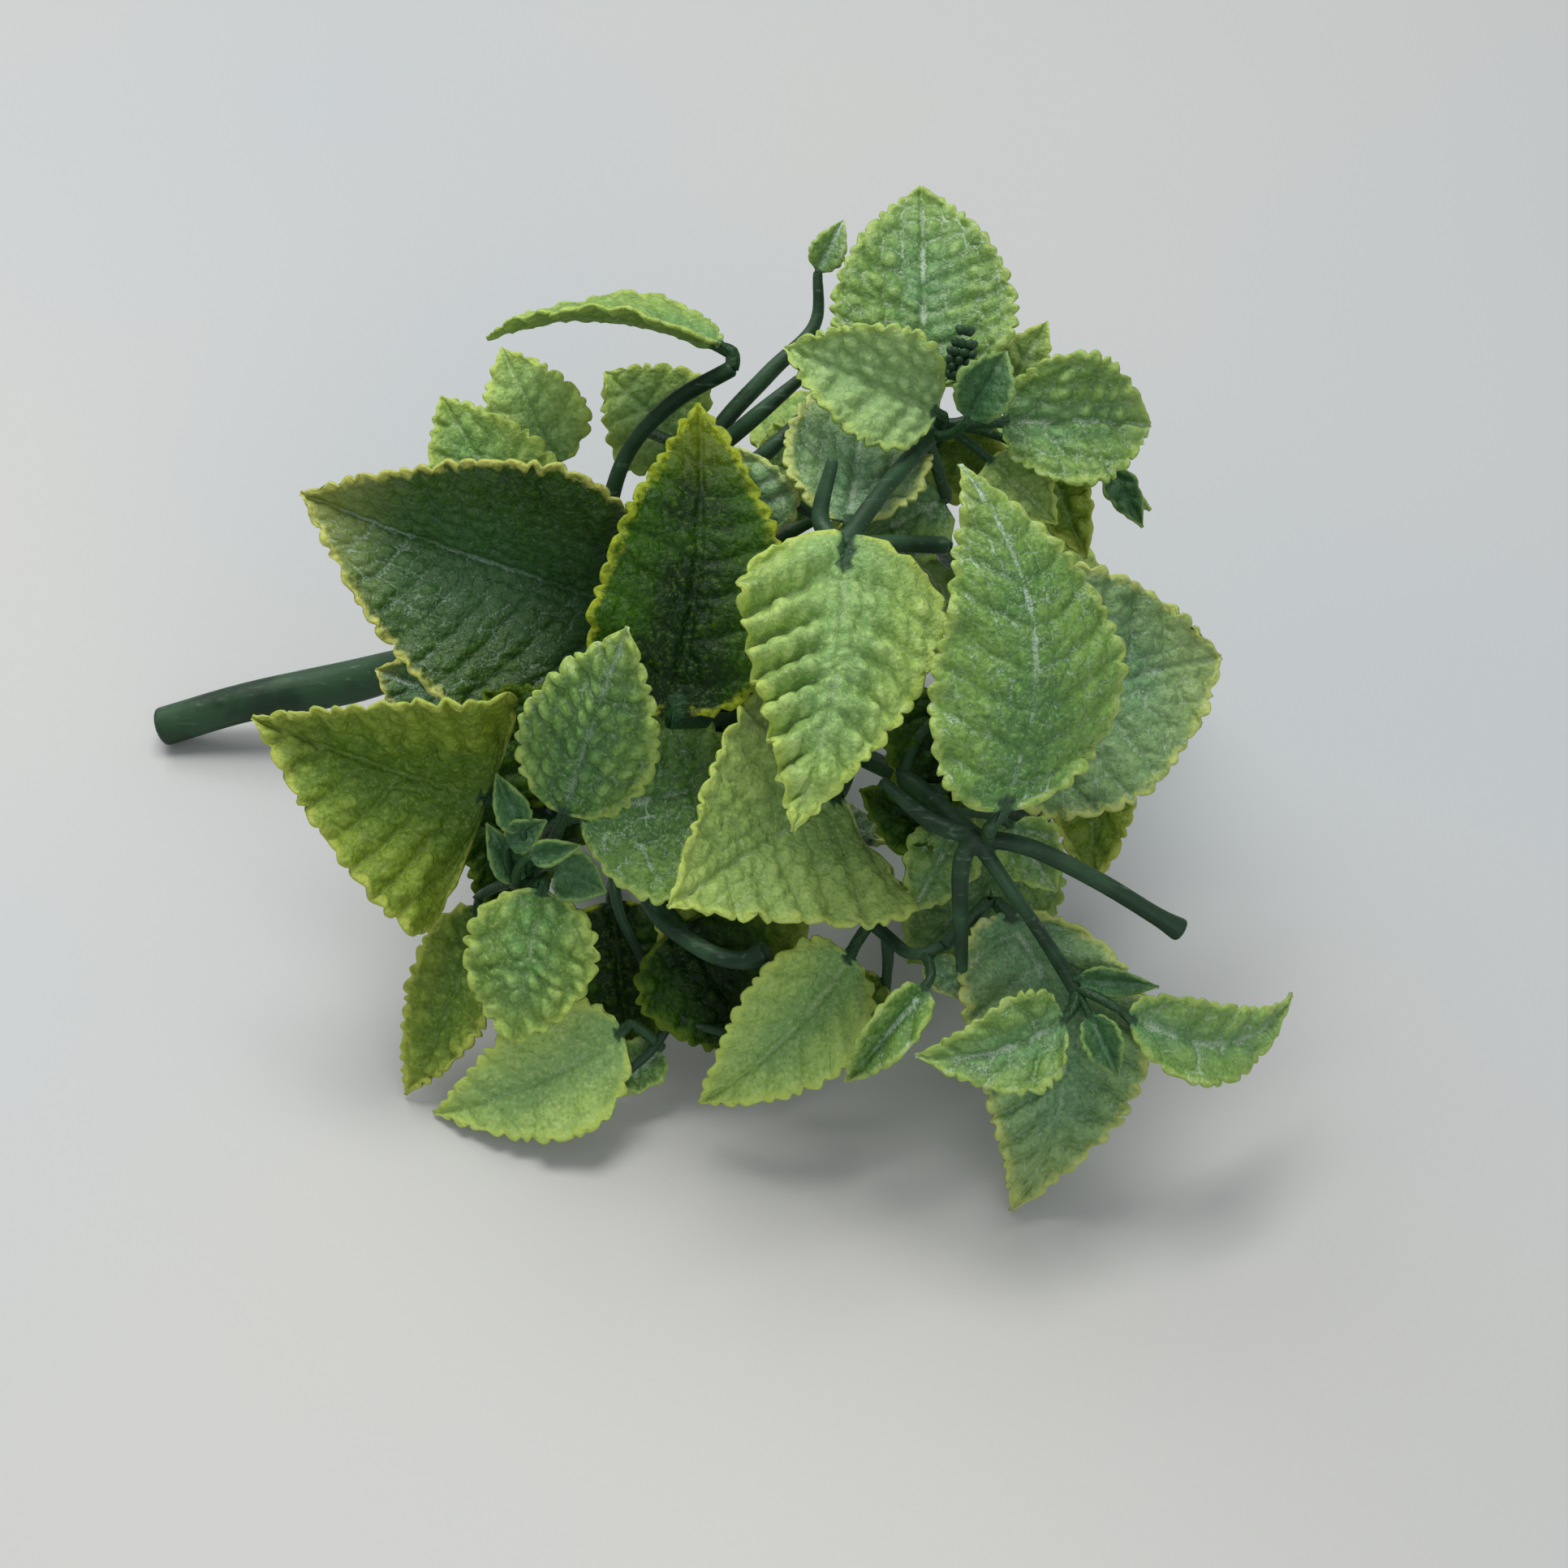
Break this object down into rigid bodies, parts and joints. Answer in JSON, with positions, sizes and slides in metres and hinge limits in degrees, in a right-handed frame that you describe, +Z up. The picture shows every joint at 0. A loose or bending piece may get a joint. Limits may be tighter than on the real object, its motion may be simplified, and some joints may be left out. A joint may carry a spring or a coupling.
{
  "type": "artificial mint sprig",
  "caption": "Moulded plastic mint sprig lying on its side: a thick round stem with forked twigs, bare pegs and toothed, quilted leaves.",
  "frame": {"origin": "under the middle of the sprig's box, on the surface that it lies on", "axes": "+Z up, +X along the sprig from the stem's cut end to the leafy head, -Y towards the front leaves"},
  "size_m": [0.1572, 0.1154, 0.087],
  "materials": {
    "leaf": "quilted moulded leaf, blue-green middle, yellow-green edge, pale dusting along the veins",
    "young_leaf": "small smooth bud leaves and bracts, darker grey-green",
    "stem": "dark blue-green moulded stem and twigs with chalky streaks"
  },
  "bodies": {
    "root": {"main_stem": "stem", "front_branch": "stem", "upper_branch": "stem", "top_branch": "stem", "arching_twig": "stem", "low_branch": "stem", "left_branch": "stem", "under_branch": "stem", "lower_peg": "stem", "flower_bud": "young_leaf", "back_branch": "stem", "left_leaf_1": "leaf", "left_leaf_2": "leaf", "left_leaf_3": "leaf", "left_leaf_4": "leaf", "left_leaf_5": "leaf", "left_leaf_6": "leaf", "left_leaf_7": "leaf", "left_leaf_8": "leaf", "left_leaf_9": "leaf", "crown_leaf_1": "leaf", "crown_leaf_2": "leaf", "crown_leaf_3": "leaf", "crown_leaf_4": "leaf", "crown_leaf_5": "leaf", "crown_leaf_6": "leaf", "crown_leaf_7": "leaf", "crown_leaf_8": "leaf", "crown_leaf_9": "leaf", "crown_leaf_10": "leaf", "centre_leaf_1": "leaf", "centre_leaf_2": "leaf", "centre_leaf_3": "leaf", "centre_leaf_4": "leaf", "right_leaf_1": "leaf", "right_leaf_2": "leaf", "right_leaf_3": "leaf", "right_leaf_4": "leaf", "right_leaf_5": "leaf", "right_leaf_6": "leaf", "right_leaf_7": "leaf", "right_leaf_8": "leaf", "right_leaf_9": "leaf", "low_leaf_1": "leaf", "low_leaf_2": "leaf", "low_leaf_3": "leaf", "low_leaf_4": "leaf", "low_leaf_5": "leaf", "low_leaf_6": "leaf", "back_leaf_1": "leaf", "back_leaf_2": "leaf", "back_leaf_3": "leaf", "back_leaf_4": "leaf", "back_leaf_5": "leaf", "back_leaf_6": "leaf", "back_leaf_7": "leaf", "under_leaf_1": "leaf", "under_leaf_2": "leaf", "crown_bud_leaf": "young_leaf", "right_bud_leaf": "young_leaf"}
  },
  "joints": []
}
